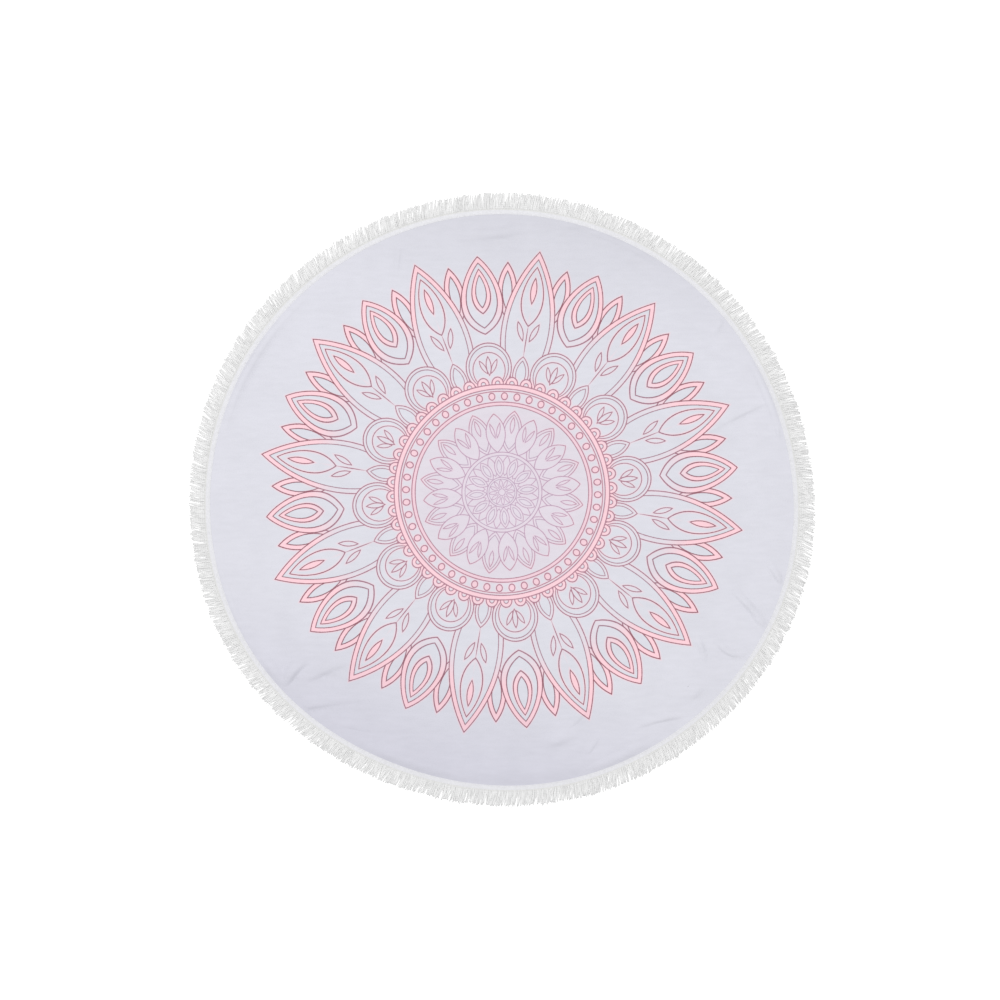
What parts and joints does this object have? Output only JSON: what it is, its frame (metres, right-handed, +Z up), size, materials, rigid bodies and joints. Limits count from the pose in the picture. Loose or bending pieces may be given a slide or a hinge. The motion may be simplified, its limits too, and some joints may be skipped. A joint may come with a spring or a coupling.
{
  "type": "round fringed beach towel",
  "caption": "Round beach towel of thin terry laid out flat, with soft creases and a fringe trim sewn round its edge.",
  "frame": {"origin": "on the floor, under the middle of the towel's box", "axes": "+Z up out of the printed side, +X and +Y towards the right and the top of the picture"},
  "size_m": [1.5195, 1.4889, 0.0085],
  "materials": {
    "terry": "short-pile microfibre terry, matt, pale lavender grey with a coral line print on its upper side",
    "trim": "off-white woven tape and cut cotton yarns, matt"
  },
  "bodies": {
    "root": {"cloth": "terry", "fringe": "trim"}
  },
  "joints": []
}
